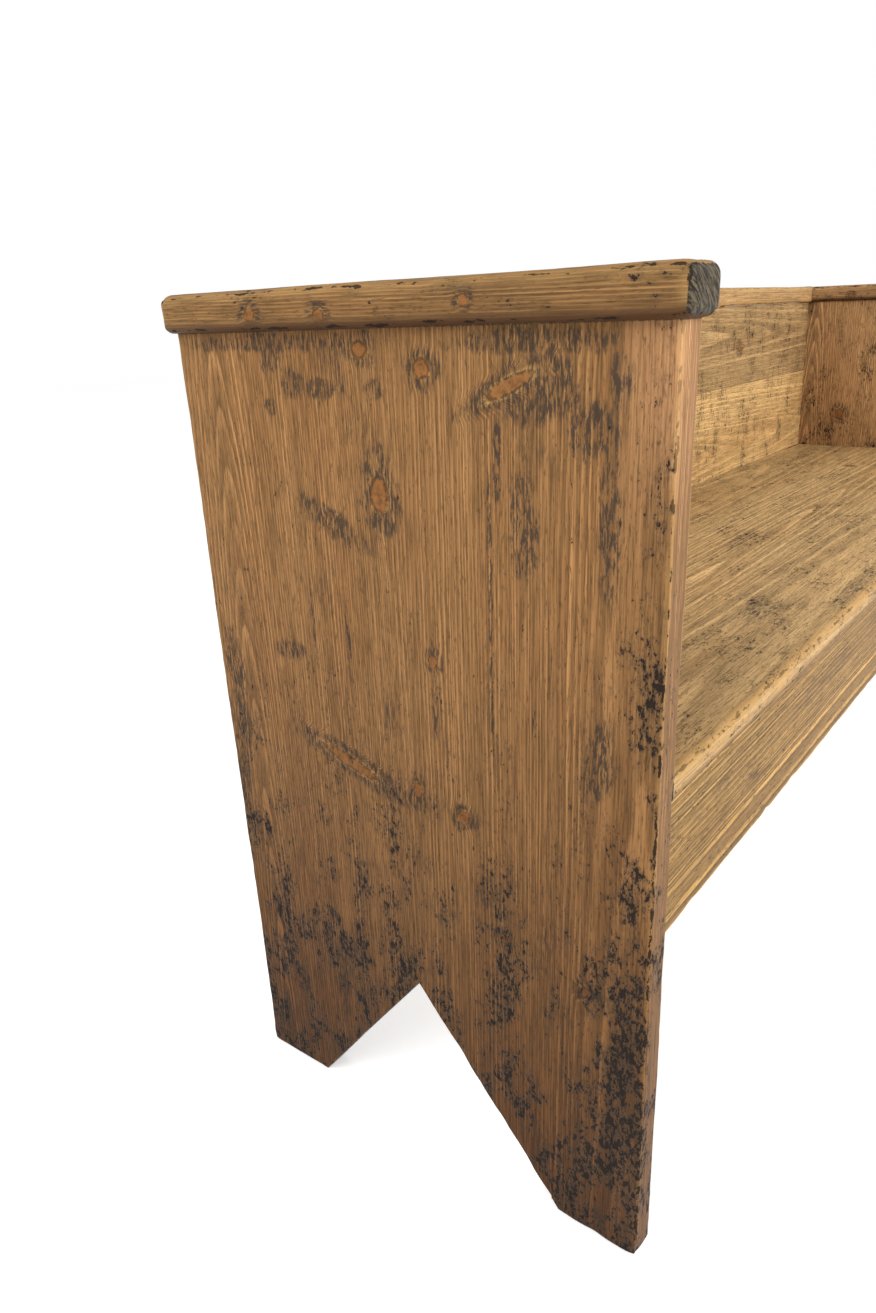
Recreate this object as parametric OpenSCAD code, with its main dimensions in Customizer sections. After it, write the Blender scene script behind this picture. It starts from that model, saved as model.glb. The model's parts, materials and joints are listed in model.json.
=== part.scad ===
// Church pew in reclaimed pine: two plank ends with a notched foot, a housed back,
// a boxed seat on cleats, and a rounded cap along the ends and the back.
// X runs along the pew, Y runs from front to back, Z is up. The origin is on the floor,
// under the middle of the pew.

/* [Pew] */
// Length over the outer faces of the two ends
pew_len = 1700; // [1300:10:2200]
// Depth of an end at its top
end_depth = 460; // [440:2:500]
// Height of an end without its cap
end_h = 754; // [740:2:800]
// Thickness of the end boards
end_t = 28; // [26:1:34]
// How much further forward the back edge stands at the floor
heel_rake = 15; // [0:1:20]

/* [Feet of the ends] */
// Width of the front foot at the floor
front_foot = 76; // [60:1:90]
// Width of the back foot at the floor
back_foot = 82; // [60:1:95]
// Height of the point of the notch
notch_h = 180; // [140:5:190]
// Distance of the notch's point behind the front edge
notch_y = 226; // [222:1:240]

/* [Boards of the ends] */
// Width of the front board
front_board_w = 83; // [80:1:92]
// Width of the middle board
middle_board_w = 135; // [125:1:138]

/* [Cap] */
// Thickness of the caps and of the cap rail
cap_t = 32; // [28:1:40]
// Overhang of an end cap beyond the outer face
cap_out = 13; // [8:1:16]
// Overhang of an end cap beyond the inner face
cap_in = 10; // [6:1:14]
// Overhang of the caps beyond the front edge
cap_front = 9; // [6:1:14]
// Overhang of the caps beyond the back edge
cap_back = 6; // [4:1:12]
// Radius of the long edges of the caps
cap_r = 8; // [5:1:10]

/* [Seat] */
// Height of the seat's upper face
seat_z = 451; // [440:1:460]
// Thickness of the seat boards
seat_t = 22; // [20:1:26]
// Width of the front seat board
seat_front_w = 148; // [130:1:160]
// Width of the middle seat board
seat_middle_w = 142; // [130:1:150]
// Radius of the seat's front edge
nosing_r = 8; // [4:1:9]

/* [Under the seat] */
// Height of the front apron
apron_h = 117; // [110:1:130]
// Thickness of the apron and of the rear rail
apron_t = 22; // [20:1:26]
// Height of the rear rail
rail_h = 90; // [80:1:110]
// Height of the bearers across the seat
bearer_h = 60; // [55:1:70]
// Distance of the bearers from the middle of the pew
bearer_x = 275; // [200:5:320]

/* [Back] */
// Distance of the back's face behind the front edge, at the seat
back_set = 430; // [420:1:432]
// Thickness of the back boards
back_t = 16; // [15:1:18]
// Height of the joint between the two back boards
back_seam_z = 612; // [590:1:640]
// Depth of the housings that hold the back boards
housing = 8; // [6:1:10]
// Width of the batten behind the back
batten_w = 70; // [60:1:90]
// Thickness of the batten behind the back
batten_t = 12; // [10:1:14]

/* [Hidden] */

pine = "peru";
pale_pine = "burlywood";
grey_pine = "tan";
dowel_wood = "wheat";
steel = "dimgray";

left = -1;
right = 1;
// How far a cutting shape runs past the face that it cuts
past = 1;

// The front edge of the ends; the caps' outline is centred on the origin
front_y = cap_front - (cap_front + end_depth + cap_back) / 2;
cap_w = cap_out + end_t + cap_in;
cap_len = cap_front + end_depth + cap_back;
cap_top = end_h + cap_t;
inner_len = pew_len - 2 * end_t;
rake = heel_rake / end_h;
rake_angle = atan(rake);

// The seat and what stands under it
nosing_back = 1;
apron_back = 3;
nosing_y = front_y + nosing_back;
apron_y = front_y + apron_back;
seat_under = seat_z - seat_t;
seat_seams = [front_y + seat_front_w, front_y + seat_front_w + seat_middle_w];
tongue_w = 20;
tongue_t = 6;
cleat_t = 22;
cleat_h = 40;
bearer_t = 30;
block_w = 25;
block_gap = 2;

// The back
board_tongue_t = 5;
board_tongue_h = 8;
rail_step = 2;
rail_front = front_y + back_set - rail_step;
rail_back = front_y + end_depth + cap_back;

// Dowels
dowel_d = 10;
dowel_len = 60;
cap_dowel_down = 30;
cap_dowel_up = 20;
slim_dowel_d = 8;
slim_dowel_len = 36;
front_seam_dowels = [60, 220, 380, 540, 700];
rear_seam_dowels = [230, 380, 540, 700];
cap_dowel_places = [42, 150, 290, 400];
rail_dowel_spacing = inner_len * 0.21;
corner_dowel_places = [10, 28];
apron_dowel_places = [33, 88];
rear_dowel_places = [21, 69];
rail_dowel_in = 16;
rail_dowel_len = 36;

// Screws
screw_d = 4.5;
head_d = 9;
head_h = 3;
slot_w = 1.2;
slot_h = 1.4;
tip_h = 5;
cleat_screw_len = 40;
cleat_screw_places = [110, 180, 260, 330];
seat_screw_len = 50;
seat_screw_tip = 8;
seat_screw_places = [75, 219, 365];
counterbore_d = 10;
batten_screw_len = 24;
batten_screw_places = [385, 500, 580, 650, 725];
batten_screw_side = 15;

// Y of the back boards' rear face at the height z
function back_y(z) = front_y + back_set + back_t + (z - seat_z) * rake;

// A stretch of the leaning back between two heights, as [y, z] points
function back_slab(z0, z1, t) = [
    [back_y(z0) - t, z0],
    [back_y(z0), z0],
    [back_y(z1), z1],
    [back_y(z1) - t, z1]
];

// Points of an arc, from angle a0 to a1
function arc(x, y, r, a0, a1) = [
    for (i = [0:6]) [x + r * cos(a0 + (a1 - a0) * i / 6), y + r * sin(a0 + (a1 - a0) * i / 6)]
];

// Points of a rectangle with round corners, from [x0, y0] to [x1, y1]
function round_rectangle(x0, y0, x1, y1, r) = concat(
    arc(x0 + r, y0 + r, r, 180, 270),
    arc(x1 - r, y0 + r, r, 270, 360),
    arc(x1 - r, y1 - r, r, 0, 90),
    arc(x0 + r, y1 - r, r, 90, 180)
);

// Turns a [y, z] outline into a bar that runs along X, centred on X = 0
module bar_along_x(len) {
    rotate([90, 0, 90]) linear_extrude(len, center = true) children();
}

// Moves what is drawn at X = 0 to the outer face of an end; +X there points inwards
module at_end(side) {
    if (side == left) {
        translate([-pew_len / 2, 0, 0]) children();
    } else {
        mirror([1, 0, 0]) translate([-pew_len / 2, 0, 0]) children();
    }
}

// A dowel or its hole, standing on its lower end
module dowel(d, len) {
    cylinder(h = len, d = d, $fn = 32);
}

// The body of a countersunk screw, with its head flush with Z = 0 and its tip down
module screw_body(len) {
    rotate_extrude($fn = 32)
        polygon([[0, 0], [head_d / 2, 0], [screw_d / 2, -head_h], [screw_d / 2, tip_h - len], [0, -len]]);
}

module screw(len) {
    color(steel) difference() {
        screw_body(len);
        translate([-head_d / 2, -slot_w / 2, -slot_h]) cube([head_d, slot_w, slot_h + past]);
    }
}

// ---- Ends ----

// Outline of an end, with the notch between its feet, as [y, z] points
module end_outline() {
    back_edge = front_y + end_depth;
    polygon([
        [front_y, 0],
        [front_y + front_foot, 0],
        [front_y + notch_y, notch_h],
        [back_edge - heel_rake - back_foot, 0],
        [back_edge - heel_rake, 0],
        [back_edge, end_h],
        [front_y, end_h]
    ]);
}

// Dowels across the two seams between the boards of an end
module board_dowel_set() {
    for (z = front_seam_dowels) {
        translate([end_t / 2, front_y + front_board_w - dowel_len / 2, z])
            rotate([-90, 0, 0]) dowel(dowel_d, dowel_len);
    }
    for (z = rear_seam_dowels) {
        translate([end_t / 2, front_y + front_board_w + middle_board_w - dowel_len / 2, z])
            rotate([-90, 0, 0]) dowel(dowel_d, dowel_len);
    }
}

module cap_dowel_set() {
    for (y = cap_dowel_places) {
        translate([end_t / 2, front_y + y, end_h - cap_dowel_down])
            dowel(dowel_d, cap_dowel_down + cap_dowel_up);
    }
}

// Dowels at the end of the front apron
module apron_dowel_set() {
    for (z = apron_dowel_places) {
        translate([end_t - rail_dowel_in, apron_y + apron_t / 2, seat_under - apron_h + z])
            rotate([0, 90, 0]) dowel(dowel_d, rail_dowel_len);
    }
}

// Dowels at the end of the rear rail
module rear_rail_dowel_set() {
    for (z = rear_dowel_places) {
        height = seat_under - rail_h + z;
        translate([end_t - rail_dowel_in, back_y(height) - apron_t / 2, height])
            rotate([0, 90, 0]) dowel(dowel_d, rail_dowel_len);
    }
}

// Screws that hold a cleat to an end, with their heads on the cleat's inner face
module cleat_screw_places() {
    for (y = cleat_screw_places) {
        translate([end_t + cleat_t, front_y + y, seat_under - cleat_h / 2])
            rotate([0, 90, 0]) children();
    }
}

// One board of an end, between two distances from the front edge
module end_board(side, from, to) {
    color(pine) at_end(side) difference() {
        intersection() {
            translate([end_t / 2, 0, 0]) bar_along_x(end_t) end_outline();
            translate([-past, front_y + from, -past]) cube([end_t + 2 * past, to - from, end_h + 2 * past]);
        }
        board_dowel_set();
        cap_dowel_set();
        apron_dowel_set();
        rear_rail_dowel_set();
        cleat_screw_places() screw_body(cleat_screw_len);
        translate([end_t - housing / 2 + past / 2, 0, 0])
            bar_along_x(housing + past) polygon(back_slab(seat_z, end_h + past, back_t));
    }
}

module end_front_board(side) {
    end_board(side, 0, front_board_w);
}

module end_middle_board(side) {
    end_board(side, front_board_w, front_board_w + middle_board_w);
}

module end_rear_board(side) {
    end_board(side, front_board_w + middle_board_w, end_depth + past);
}

module end_board_dowels(side) {
    color(dowel_wood) at_end(side) board_dowel_set();
}

// Dowels between an end cap and the cap rail
module corner_dowel_set() {
    for (y = corner_dowel_places) {
        translate([end_t + cap_in - slim_dowel_len / 2, rail_front + y, end_h + cap_t / 2])
            rotate([0, 90, 0]) dowel(slim_dowel_d, slim_dowel_len);
    }
}

// Outline of the cap rail, as [y, z] points
module rail_outline() {
    polygon(round_rectangle(rail_front, end_h, rail_back, cap_top, cap_r));
}

// The rounded bar of an end cap, with the start of the cap rail's shape where the two meet
module cap_body() {
    cap_y = front_y - cap_front;
    intersection() {
        translate([0, cap_y + cap_len, 0]) rotate([90, 0, 0]) linear_extrude(cap_len)
            polygon(round_rectangle(-cap_out, end_h, end_t + cap_in, cap_top, cap_r));
        translate([0, 0, end_h]) linear_extrude(cap_t)
            polygon(round_rectangle(-cap_out, cap_y, end_t + cap_in, cap_y + cap_len, cap_r / 2));
    }
    translate([end_t + cap_in - cap_r, 0, 0]) bar_along_x(2 * cap_r) rail_outline();
}

module end_cap(side) {
    color(pale_pine) at_end(side) difference() {
        cap_body();
        cap_dowel_set();
        corner_dowel_set();
    }
}

module end_cap_dowels(side) {
    color(dowel_wood) at_end(side) cap_dowel_set();
}

// ---- Under the seat ----

// Outline of a piece that fills the depth between the apron and the rear rail
module between_rails(z0, z1) {
    polygon([
        [apron_y + apron_t, z0],
        [back_y(z0) - apron_t, z0],
        [back_y(z1) - apron_t, z1],
        [apron_y + apron_t, z1]
    ]);
}

// Screws that rise into the seat boards, with their heads sunk in what lies below
module seat_screw_places() {
    for (y = seat_screw_places) {
        translate([0, front_y + y, seat_z - seat_screw_tip - seat_screw_len])
            rotate([180, 0, 0]) children();
    }
}

// Holes for the seat screws in a piece whose lower face is at z0
module seat_screw_holes(z0) {
    seat_screw_places() screw_body(seat_screw_len);
    seat_screw_places() cylinder(h = seat_z - seat_screw_tip - seat_screw_len - z0 + past,
        d = counterbore_d, $fn = 32);
}

module seat_cleat(side) {
    color(grey_pine) at_end(side) translate([end_t, 0, 0]) difference() {
        translate([cleat_t / 2, 0, 0]) bar_along_x(cleat_t) between_rails(seat_under - cleat_h, seat_under);
        translate([cleat_t / 2, 0, 0]) seat_screw_holes(seat_under - cleat_h);
        translate([-end_t, 0, 0]) cleat_screw_places() screw_body(cleat_screw_len);
    }
}

module cleat_screws(side) {
    at_end(side) cleat_screw_places() screw(cleat_screw_len);
}

module seat_bearer(side) {
    color(grey_pine) translate([side * bearer_x, 0, 0]) difference() {
        bar_along_x(bearer_t) between_rails(seat_under - bearer_h, seat_under);
        seat_screw_holes(seat_under - bearer_h);
    }
}

// The places along X where screws rise into the seat
module at_each_support() {
    for (side = [left, right]) {
        at_end(side) translate([end_t + cleat_t / 2, 0, 0]) children();
        translate([side * bearer_x, 0, 0]) children();
    }
}

module seat_screws() {
    at_each_support() seat_screw_places() screw(seat_screw_len);
}

module front_apron() {
    color(pale_pine) difference() {
        translate([-inner_len / 2, apron_y, seat_under - apron_h]) cube([inner_len, apron_t, apron_h]);
        at_end(left) apron_dowel_set();
        at_end(right) apron_dowel_set();
    }
}

module apron_dowels() {
    color(dowel_wood) at_end(left) apron_dowel_set();
    color(dowel_wood) at_end(right) apron_dowel_set();
}

// Screws through the batten, at right angles to the leaning back
module batten_screw_places() {
    for (i = [0:len(batten_screw_places) - 1]) {
        z = batten_screw_places[i];
        translate([i % 2 == 0 ? -batten_screw_side : batten_screw_side, back_y(z) + batten_t, z])
            rotate([-90 - rake_angle, 0, 0]) children();
    }
}

module rear_rail() {
    color(grey_pine) difference() {
        bar_along_x(inner_len) polygon(back_slab(seat_under - rail_h, seat_under, apron_t));
        at_end(left) rear_rail_dowel_set();
        at_end(right) rear_rail_dowel_set();
        batten_screw_places() screw_body(batten_screw_len);
    }
}

module rear_rail_dowels() {
    color(dowel_wood) at_end(left) rear_rail_dowel_set();
    color(dowel_wood) at_end(right) rear_rail_dowel_set();
}

// Blocks glued into the four corners below the cleats
module glue_blocks() {
    color(grey_pine) for (side = [left, right]) at_end(side) {
        front_foot_z = seat_under - apron_h + block_gap;
        rear_foot_z = seat_under - rail_h + block_gap;
        top = seat_under - cleat_h;
        translate([end_t, apron_y + apron_t, front_foot_z])
            cube([block_w, block_w, top - front_foot_z]);
        intersection() {
            translate([end_t + block_w / 2, 0, 0]) bar_along_x(block_w) between_rails(rear_foot_z, top);
            translate([0, back_y(rear_foot_z) - apron_t - block_w, 0]) cube([pew_len, end_depth, top]);
        }
    }
}

// ---- Seat ----

// The slots for the loose tongues between the seat boards
module seat_tongue_set(grow) {
    for (y = seat_seams) {
        translate([-inner_len / 2 - grow, y - tongue_w / 2, seat_z - seat_t / 2 - tongue_t / 2])
            cube([inner_len + 2 * grow, tongue_w, tongue_t]);
    }
}

// Cuts the tongue slots and the screw holes into a seat board
module seat_board() {
    color(pale_pine) difference() {
        children();
        seat_tongue_set(past);
        at_each_support() seat_screw_places() screw_body(seat_screw_len);
    }
}

module seat_front_board() {
    seat_board() bar_along_x(inner_len) polygon(concat(
        [[seat_seams[0], seat_under], [seat_seams[0], seat_z]],
        arc(nosing_y + nosing_r, seat_z - nosing_r, nosing_r, 90, 180),
        [[nosing_y, seat_under]]
    ));
}

module seat_middle_board() {
    seat_board() translate([-inner_len / 2, seat_seams[0], seat_under])
        cube([inner_len, seat_middle_w, seat_t]);
}

module seat_rear_board() {
    seat_board() bar_along_x(inner_len) polygon([
        [seat_seams[1], seat_under],
        [back_y(seat_under), seat_under],
        [back_y(seat_z), seat_z],
        [seat_seams[1], seat_z]
    ]);
}

module seat_tongues() {
    color(dowel_wood) seat_tongue_set(0);
}

// ---- Back ----

// The tongue between the two back boards, from below the seam by drop to above it by rise
module back_tongue(len, drop, rise) {
    y = back_y(back_seam_z) - back_t / 2;
    bar_along_x(len) polygon([
        [y - board_tongue_t / 2, back_seam_z - drop],
        [y + board_tongue_t / 2, back_seam_z - drop],
        [y + board_tongue_t / 2, back_seam_z + rise],
        [y - board_tongue_t / 2, back_seam_z + rise]
    ]);
}

module cap_rail_dowel_set() {
    for (i = [-2:2]) {
        translate([i * rail_dowel_spacing, back_y(end_h) - back_t / 2, end_h - cap_dowel_up])
            dowel(slim_dowel_d, slim_dowel_len);
    }
}

back_len = inner_len + 2 * housing;

module back_top_board() {
    color(pale_pine) difference() {
        bar_along_x(back_len) polygon(back_slab(back_seam_z, end_h, back_t));
        back_tongue(back_len + 2 * past, past, board_tongue_h);
        cap_rail_dowel_set();
        batten_screw_places() screw_body(batten_screw_len);
    }
}

module back_lower_board() {
    color(pale_pine) difference() {
        union() {
            bar_along_x(back_len) polygon(back_slab(seat_z, back_seam_z, back_t));
            back_tongue(back_len, past, board_tongue_h);
        }
        batten_screw_places() screw_body(batten_screw_len);
    }
}

module back_cap_rail() {
    rail_len = inner_len - 2 * cap_in;
    color(pale_pine) difference() {
        bar_along_x(rail_len) rail_outline();
        cap_rail_dowel_set();
        at_end(left) corner_dowel_set();
        at_end(right) corner_dowel_set();
    }
}

module cap_rail_dowels() {
    color(dowel_wood) cap_rail_dowel_set();
}

module cap_corner_dowels() {
    color(dowel_wood) at_end(left) corner_dowel_set();
    color(dowel_wood) at_end(right) corner_dowel_set();
}

module back_batten() {
    color(grey_pine) difference() {
        bar_along_x(batten_w) polygon([
            [back_y(seat_under - rail_h), seat_under - rail_h],
            [back_y(seat_under - rail_h) + batten_t, seat_under - rail_h],
            [back_y(end_h) + batten_t, end_h],
            [back_y(end_h), end_h]
        ]);
        batten_screw_places() screw_body(batten_screw_len);
    }
}

module batten_screws() {
    batten_screw_places() screw(batten_screw_len);
}

end_front_board(left);  // left_front_board
end_middle_board(left);  // left_middle_board
end_rear_board(left);  // left_rear_board
end_board_dowels(left);  // left_board_dowels
end_cap(left);  // left_cap
end_cap_dowels(left);  // left_cap_dowels
seat_cleat(left);  // left_seat_cleat
cleat_screws(left);  // left_cleat_screws
end_front_board(right);  // right_front_board
end_middle_board(right);  // right_middle_board
end_rear_board(right);  // right_rear_board
end_board_dowels(right);  // right_board_dowels
end_cap(right);  // right_cap
end_cap_dowels(right);  // right_cap_dowels
seat_cleat(right);  // right_seat_cleat
cleat_screws(right);  // right_cleat_screws
back_top_board();
back_lower_board();
back_cap_rail();
cap_rail_dowels();
cap_corner_dowels();
back_batten();
batten_screws();
seat_front_board();
seat_middle_board();
seat_rear_board();
seat_tongues();
seat_bearer(left);  // seat_bearer_left
seat_bearer(right);  // seat_bearer_right
seat_screws();
front_apron();
apron_dowels();
rear_rail();
rear_rail_dowels();
glue_blocks();
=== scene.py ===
"""Looks of a reclaimed-pine church pew, built around its packed CAD frame.

Every board is a solid of its own with worn, softened edges and a slightly uneven face, and wears
pine that is worked out from growth rings, knots, old paint, stain and wear. Lengths are in metres.
X runs along the pew, Y from front to back, and Z is up.
"""

import itertools
import json
import math
from collections import namedtuple

import bpy
import numpy as np
from bpy.props import FloatProperty, FloatVectorProperty, IntProperty, PointerProperty
from mathutils import Matrix, Vector


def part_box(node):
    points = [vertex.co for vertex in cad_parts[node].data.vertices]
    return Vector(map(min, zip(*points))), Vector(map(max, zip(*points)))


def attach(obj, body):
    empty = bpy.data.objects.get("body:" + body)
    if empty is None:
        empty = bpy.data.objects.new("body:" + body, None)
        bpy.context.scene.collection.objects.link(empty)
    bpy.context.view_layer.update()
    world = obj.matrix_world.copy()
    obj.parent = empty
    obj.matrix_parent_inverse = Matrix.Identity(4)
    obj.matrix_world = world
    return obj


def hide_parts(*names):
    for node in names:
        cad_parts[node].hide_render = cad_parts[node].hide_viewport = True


bl_info = {
    "name": "Reclaimed Pine Pew",
    "version": (1, 0, 0),
    "blender": (4, 5, 0),
    "location": "View3D > Sidebar > Pew",
    "description": "Builds the worn boards, caps and stage of a plank-ended church pew",
    "category": "Object",
}

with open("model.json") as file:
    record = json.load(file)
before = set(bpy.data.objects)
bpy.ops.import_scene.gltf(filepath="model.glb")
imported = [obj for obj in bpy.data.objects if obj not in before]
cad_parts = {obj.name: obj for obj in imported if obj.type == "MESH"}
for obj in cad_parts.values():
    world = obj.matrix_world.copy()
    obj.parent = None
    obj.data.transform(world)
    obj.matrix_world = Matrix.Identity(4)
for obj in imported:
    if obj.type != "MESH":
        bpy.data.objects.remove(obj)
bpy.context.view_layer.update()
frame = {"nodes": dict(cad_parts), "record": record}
BODY = "root"

SLOTS = {part["node"]: part["material_slot"] for part in frame["record"]["subparts"]}

# Which of X, Y and Z runs along a board's grain, across it and through its thickness.
UPRIGHT_END = (2, 1, 0)
FRONT_TO_BACK = (1, 0, 2)
CAP_SIDE = (1, 2, 0)
FLAT_ALONG = (0, 1, 2)
STANDING_ALONG = (0, 2, 1)
STANDING_UP = (2, 0, 1)

# How far a board runs into its neighbours, so no light shows between them.
OVERLAP = 0.001
# The distance to an edge or a cut is followed no further than this.
FAR = 0.05
# A radius of this share of the worn edge's, or more, counts as worn.
WORN_SHARE = 0.6
# The faces of the ends and caps have closer points than the other boards' faces.
CLOSE_STEP = 0.75
# Points lie this much further apart along the grain than across it.
ALONG_STEP = 1.25
# Lengths over which an edge's radius changes slowly and quickly.
SLOW_WEAR = (0.045,) * 3
QUICK_WEAR = (0.012,) * 3
# Lengths of the slow and the quick waves in a planed face.
SLOW_WAVES = (0.26, 0.11, 0.17)
QUICK_WAVES = (0.05, 0.03, 0.035)


# ---- Settings -------------------------------------------------------------------------------


def colour(label, description, value):
    """A colour setting, in linear light."""
    return FloatVectorProperty(
        name=label, description=description, subtype="COLOR", size=3, min=0.0, max=1.0, default=value
    )


def length(label, description, value):
    """A length setting, in metres."""
    return FloatProperty(name=label, description=description, unit="LENGTH", min=0.0, default=value)


class PewShape(bpy.types.PropertyGroup):
    """How far wear has softened the pew."""

    mesh_step: length("Face step", "Distance between the points of a board's face", 0.006)
    worn_edge: length("Worn edge", "Radius of an edge that hands and feet have worn", 0.0038)
    sharp_edge: length("Sharp edge", "Radius of an edge at a joint", 0.0005)
    broken_edge: length("Broken edge", "Radius of an edge behind or under the pew", 0.0015)
    cap_edge: length("Cap edge", "Radius of the long edges of the caps", 0.0100)
    nosing: length("Nosing", "Radius of the seat's front edge", 0.0075)
    waviness: length("Waviness", "Height of the slow waves in a planed face", 0.0004)
    wear: FloatProperty(
        name="Wear", description="How much an edge's radius changes along it", min=0.0, max=1.0, default=0.28
    )
    dents: IntProperty(name="Dents", description="Dents along the edges of a board", min=0, default=14)


class PewColours(bpy.types.PropertyGroup):
    """The colours of the pine and of what lies on it."""

    honey: colour("Honey", "Waxed pine on the ends", (0.229, 0.117, 0.0440))
    straw: colour("Straw", "Yellower pine on the back and the seat", (0.500, 0.300, 0.118))
    worn_pine: colour("Worn pine", "Pine rubbed bare on an edge", (0.470, 0.275, 0.098))
    raw_pine: colour("Raw pine", "Sawn pine that was never finished", (0.420, 0.260, 0.120))
    knot: colour("Knot", "Middle of a knot", (0.235, 0.092, 0.027))
    # This dark brown is also the rust of the screws, and the painted shade under the caps and the seat's
    # nosing.
    knot_rim_rust_and_shade: colour("Knot rim", "Bark and resin round a knot", (0.055, 0.024, 0.010))
    stain: colour("Stain", "Smoky stain in the open grain", (0.038, 0.028, 0.020))
    paint: colour("Old paint", "Flecks of old black paint", (0.014, 0.010, 0.008))
    end_grain: colour("End grain", "Weathered end grain", (0.105, 0.093, 0.064))
    beech: colour("Beech", "Dowels and tongues", (0.520, 0.330, 0.170))
    steel: colour("Steel", "Screws", (0.230, 0.215, 0.200))


class PewStage(bpy.types.PropertyGroup):
    """The floor, the light and the camera."""

    floor: colour("Floor", "The floor's colour", (0.94, 0.94, 0.94))
    glow: FloatProperty(name="Floor glow", description="Light of the floor itself", min=0.0, default=0.33)
    sky: FloatProperty(name="Sky", description="Strength of the even white light", min=0.0, default=0.70)
    key: FloatProperty(name="Key light", description="Power of the front light", unit="POWER", default=95.0)
    fill: FloatProperty(name="Fill light", description="Power of the side light", unit="POWER", default=34.0)
    lens: FloatProperty(name="Lens", description="Focal length in millimetres", min=10.0, default=25.13)


# ---- Shapes ---------------------------------------------------------------------------------

# Something on a board's face: a knot, a stain or a gouge, in metres along and across the grain, and its tilt
# in degrees.
Mark = namedtuple("Mark", "kind along across length width tilt", defaults=(0.0,))

# Where the heart of the log lies from a board's middle, across it and behind it, and how far it
# leans towards the face along the board.
Heart = namedtuple("Heart", "across depth slope seed")


def ripple(points, size, seed):
    """Smooth random values from -1 to 1 that change over about size, one for each point."""
    table = np.random.default_rng(seed).uniform(-1.0, 1.0, (32, 32, 32))
    place = np.asarray(points) / np.asarray(size)
    cell = np.floor(place).astype(int)
    part = place - cell
    part = part * part * (3.0 - 2.0 * part)
    total = np.zeros(len(place))
    for corner in itertools.product((0, 1), repeat=3):
        weight = np.prod(np.where(corner, part, 1.0 - part), axis=1)
        total += weight * table[tuple(((cell + corner) % 32).T)]
    return total


def grid_lines(size, step, soft, keep=()):
    """Places of grid lines from 0 to size: close together at both ends, and at each place in keep."""
    near = soft * np.array([0.0, 0.13, 0.3, 0.5, 0.75, 1.0, 1.35])
    near = near[near < size / 2.2]
    start = near[-1]
    count = max(1, round((size - 2 * start) / step))
    lines = np.concatenate([near[:-1], np.linspace(start, size - start, count + 1), (size - near[:-1])[::-1]])
    for place in keep:
        lines[np.argmin(np.abs(lines[1:-1] - place)) + 1] = place
    return np.sort(lines)


def box_skin(lines):
    """Points and quads of the outside of a box that is cut by grid lines along its three sides."""
    outside = np.zeros([len(line) for line in lines], bool)
    for axis, side in itertools.product(range(3), (0, -1)):
        np.moveaxis(outside, axis, 0)[side] = True
    index = np.full(outside.shape, -1)
    index[outside] = np.arange(outside.sum())
    points = np.stack(np.meshgrid(*lines, indexing="ij"), axis=-1)[outside]
    quads = []
    for axis, side in itertools.product(range(3), (0, -1)):
        grid = np.take(index, side, axis=axis)
        quad = np.stack([grid[:-1, :-1], grid[1:, :-1], grid[1:, 1:], grid[:-1, 1:]], axis=-1).reshape(-1, 4)
        quads.append(quad[:, ::-1] if (side == 0) != (axis == 1) else quad)
    return points, np.concatenate(quads)


def box_edges(radii):
    """The twelve edges of a box: two sides, and the smaller of their two radii."""
    for first, second in ((1, 2), (0, 2), (0, 1)):
        for side_a, side_b in itertools.product((0, 1), repeat=2):
            yield first, side_a, second, side_b, min(radii[first][side_a], radii[second][side_b])


def soften(points, size, radii, wear, seed):
    """Rounds the edges of a box. radii holds a low and a high radius for each of its three sides."""
    points = points.copy()
    change = 1.0 + wear * ripple(points, SLOW_WEAR, seed)
    change += 0.5 * wear * ripple(points, QUICK_WEAR, seed + 1)
    change = np.clip(change, 0.35, 1.5)
    for first, side_a, second, side_b, edge_radius in box_edges(radii):
        radius = edge_radius * change
        gap_a = radius - np.abs(points[:, first] - side_a * size[first])
        gap_b = radius - np.abs(points[:, second] - side_b * size[second])
        inside = (gap_a > 0) & (gap_b > 0)
        # Squares round the arc's centre are drawn in to circles, so the corner becomes the arc.
        pull = np.maximum(gap_a, gap_b) / np.maximum(np.hypot(gap_a, gap_b), 1e-9)
        a = radius - gap_a * pull
        b = radius - gap_b * pull
        points[:, first] = np.where(inside, size[first] - a if side_a else a, points[:, first])
        points[:, second] = np.where(inside, size[second] - b if side_b else b, points[:, second])
    return points


def edge_distance(points, size, radii, worn):
    """How far each point is from the nearest worn edge, up to FAR."""
    nearest = np.full(len(points), FAR)
    for first, side_a, second, side_b, radius in box_edges(radii):
        if radius >= worn:
            a = points[:, first] - side_a * size[first]
            b = points[:, second] - side_b * size[second]
            nearest = np.minimum(nearest, np.hypot(a, b))
    return nearest


def dents(points, size, radii, worn, count, seed):
    """Depth of the small hollows knocked into the worn edges."""
    draw = np.random.default_rng(seed)
    edges = [edge for edge in box_edges(radii) if edge[4] >= worn]
    depth = np.zeros(len(points))
    for _ in range(count if edges else 0):
        first, side_a, second, side_b, _radius = edges[draw.integers(len(edges))]
        middle = draw.uniform(0.0, 1.0, 3) * size
        middle[first] = side_a * size[first]
        middle[second] = side_b * size[second]
        reach = draw.uniform(0.003, 0.009) * np.array([1.6, 1.0, 1.0])
        depth += draw.uniform(0.0003, 0.0011) * np.exp(-(((points - middle) / reach) ** 2).sum(axis=1))
    return depth


def mark_relief(along, across, marks):
    """Height of the face round its knots, less the depth of its gouges."""
    height = np.zeros(len(along))
    for mark in marks:
        turn = math.radians(mark.tilt)
        u = (along - mark.along) * math.cos(turn) + (across - mark.across) * math.sin(turn)
        v = (across - mark.across) * math.cos(turn) - (along - mark.along) * math.sin(turn)
        away = np.hypot(u / mark.length, v / mark.width) * 2.0
        if mark.kind == "knot":
            height += 0.0006 * np.exp(-(away**2)) - 0.0008 * np.exp(-((away - 1.1) ** 2) * 12.0)
        elif mark.kind == "gouge":
            height -= 0.0016 * np.exp(-(away**2) * 1.5)
    return height


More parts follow.
